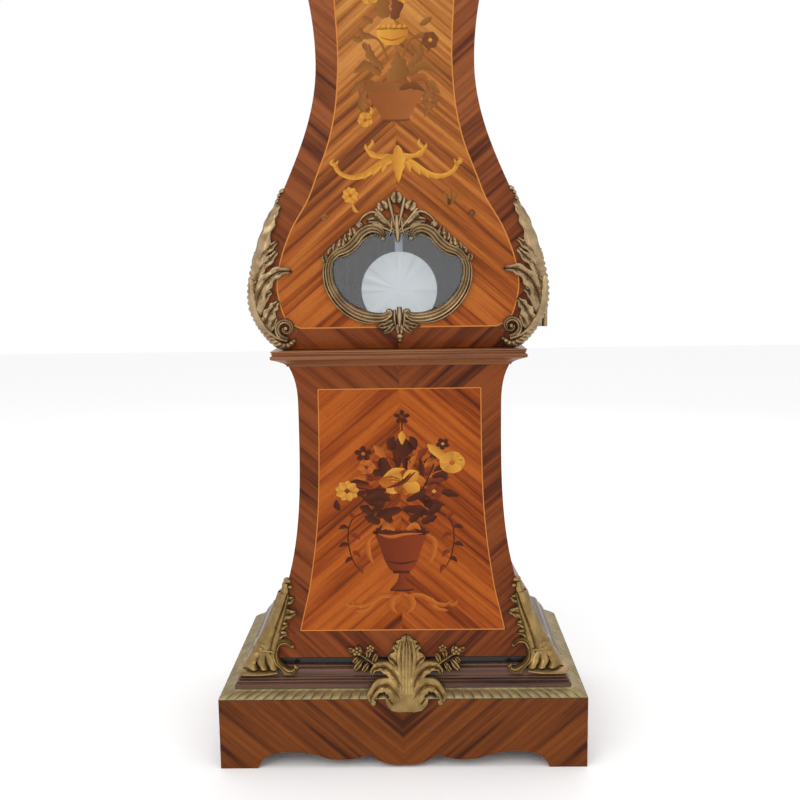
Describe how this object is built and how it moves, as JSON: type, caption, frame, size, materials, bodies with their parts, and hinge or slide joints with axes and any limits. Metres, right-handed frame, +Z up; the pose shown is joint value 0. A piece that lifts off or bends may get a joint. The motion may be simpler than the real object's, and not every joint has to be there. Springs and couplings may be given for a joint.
{
  "type": "grandfather clock",
  "caption": "Tall weight-driven longcase clock with a waisted veneered case, gilt mounts, a window on its pendulum and a round glazed dial.",
  "frame": {"origin": "middle of the footprint, on the floor", "axes": "+Z up, -Y towards the viewer of the dial, +X to the viewer's right"},
  "size_m": [0.54, 0.344, 2.1],
  "materials": {
    "kingwood": "satin French polish",
    "tulipwood": "satin French polish",
    "walnut_moulding": "French polish",
    "ebonised_wood": "black polish",
    "oak": "plain",
    "gilt_bronze": "old gilt",
    "window_glass": "clear",
    "enamel": "vitreous gloss",
    "blued_steel": "blued",
    "steel": "fine brushed",
    "brass": "polished"
  },
  "bodies": {
    "case": {"plinth_front_apron": "kingwood", "plinth_sides": "kingwood", "plinth_back_rail": "oak", "plinth_bronze_border": "gilt_bronze", "step_moulding": "walnut_moulding", "ebonised_fillet": "ebonised_wood", "pedestal_front_panel": "tulipwood", "pedestal_sides": "tulipwood", "waist_moulding": "walnut_moulding", "trunk_sides": "tulipwood", "back_board": "oak", "sabots": "gilt_bronze", "plinth_centre_mount": "gilt_bronze", "trunk_hinge_case_leaves": "brass", "hood_base_moulding": "walnut_moulding", "hood_sides": "tulipwood", "hood_front": "tulipwood", "hood_top": "walnut_moulding", "hood_mounts": "gilt_bronze", "finial": "gilt_bronze", "bezel_hinge": "brass", "dial_plate": "enamel", "seat_board": "oak", "front_plate": "brass", "back_plate": "brass", "plate_pillars": "brass", "suspension_cock": "brass", "bell": "brass", "bell_post": "steel"},
    "door": {"trunk_door": "tulipwood", "trunk_mounts": "gilt_bronze", "lenticle_frame": "gilt_bronze", "lenticle_glass": "window_glass", "trunk_hinge_door_leaves": "brass", "lock_case": "brass", "escutcheon": "gilt_bronze"},
    "bolt": {"lock_bolt": "steel"},
    "key": {"door_key": "brass"},
    "bezel": {"bezel_ring": "brass", "bezel_glass": "window_glass"},
    "minute": {"centre_arbor": "steel", "minute_hand": "blued_steel", "hand_nut": "brass"},
    "hour": {"hour_wheel": "brass", "hour_hand": "blued_steel"},
    "motion_wheel": {"minute_wheel": "brass"},
    "great_wheel": {"going_great_wheel": "brass"},
    "third": {"third_arbor": "steel"},
    "escape": {"escape_arbor": "steel"},
    "going_barrel": {"going_drum": "brass"},
    "strike_barrel": {"strike_drum": "brass"},
    "going_fall": {"going_weight": "brass", "going_cable": "brass"},
    "strike_fall": {"strike_weight": "brass", "strike_cable": "brass"},
    "pendulum": {"pendulum_rod": "brass", "pendulum_bob": "brass", "rating_nut": "brass"},
    "verge": {"anchor": "steel"},
    "hammer_arm": {"hammer": "steel"}
  },
  "joints": [
    {"name": "door_hinge", "type": "hinge", "parent": "case", "child": "door", "pos_m": [0.217, -0.062, 1.027], "axis": [0, 0, 1], "range_deg": [0, 100]},
    {"name": "key_turn", "type": "hinge", "parent": "door", "child": "key", "pos_m": [-0.10589, -0.1, 1.199], "axis": [0, 1, 0], "range_deg": [0, 90]},
    {"name": "bolt_slide", "type": "slide", "parent": "door", "child": "bolt", "axis": [-1, 0, 0], "range_m": [0, 0.012]},
    {"name": "bezel_hinge_turn", "type": "hinge", "parent": "case", "child": "bezel", "pos_m": [0.141, -0.1345, 1.625], "axis": [0, 0, 1], "range_deg": [0, 110]},
    {"name": "minute_turn", "type": "hinge", "parent": "case", "child": "minute", "pos_m": [0, -0.09, 1.625], "axis": [0, 1, 0], "continuous": true},
    {"name": "hour_turn", "type": "hinge", "parent": "case", "child": "hour", "pos_m": [0, -0.09, 1.625], "axis": [0, 1, 0], "continuous": true},
    {"name": "motion_wheel_turn", "type": "hinge", "parent": "case", "child": "motion_wheel", "pos_m": [0, -0.075, 1.6538], "axis": [0, 1, 0], "continuous": true},
    {"name": "great_wheel_turn", "type": "hinge", "parent": "case", "child": "great_wheel", "pos_m": [0.037, -0.056, 1.59137], "axis": [0, 1, 0], "continuous": true},
    {"name": "third_turn", "type": "hinge", "parent": "case", "child": "third", "pos_m": [-0.01709, -0.03, 1.65039], "axis": [0, 1, 0], "continuous": true},
    {"name": "escape_turn", "type": "hinge", "parent": "case", "child": "escape", "pos_m": [0, -0.03, 1.671], "axis": [0, 1, 0], "continuous": true},
    {"name": "going_fall_slide", "type": "slide", "parent": "case", "child": "going_fall", "axis": [0, 0, -1], "range_m": [0, 0.85], "deforming": ["going_cable"]},
    {"name": "strike_fall_slide", "type": "slide", "parent": "case", "child": "strike_fall", "axis": [0, 0, -1], "range_m": [0, 0.85], "deforming": ["strike_cable"]},
    {"name": "going_barrel_turn", "type": "hinge", "parent": "case", "child": "going_barrel", "pos_m": [0.037, -0.035, 1.59137], "axis": [0, 1, 0], "range_deg": [0, 1880]},
    {"name": "strike_barrel_turn", "type": "hinge", "parent": "case", "child": "strike_barrel", "pos_m": [-0.037, -0.035, 1.59137], "axis": [0, 1, 0], "range_deg": [-1880, 0]},
    {"name": "pendulum_swing", "type": "hinge", "parent": "case", "child": "pendulum", "pos_m": [0, 0.042, 1.701], "axis": [0, 1, 0], "range_deg": [-2.5, 2.5]},
    {"name": "verge_rock", "type": "hinge", "parent": "case", "child": "verge", "pos_m": [0, -0.03, 1.701], "axis": [0, 1, 0], "range_deg": [-2.5, 2.5]},
    {"name": "hammer_swing", "type": "hinge", "parent": "case", "child": "hammer_arm", "pos_m": [-0.065, 0.005, 1.625], "axis": [0, 1, 0], "range_deg": [-15, 1.5], "stiffness_Nm_per_rad": 0.3}
  ],
  "couplings": [
    {"joint": "bolt_slide", "follows": "key_turn", "m_per_rad": 0.0076394},
    {"joint": "hour_turn", "follows": "minute_turn", "ratio": 0.083333},
    {"joint": "motion_wheel_turn", "follows": "minute_turn", "ratio": -0.33333},
    {"joint": "great_wheel_turn", "follows": "minute_turn", "ratio": -0.083333},
    {"joint": "third_turn", "follows": "minute_turn", "ratio": -7.5},
    {"joint": "escape_turn", "follows": "minute_turn", "ratio": 60},
    {"joint": "going_barrel_turn", "follows": "going_fall_slide", "rad_per_m": 38.462},
    {"joint": "strike_barrel_turn", "follows": "strike_fall_slide", "rad_per_m": -38.462},
    {"joint": "verge_rock", "follows": "pendulum_swing", "ratio": 1}
  ]
}
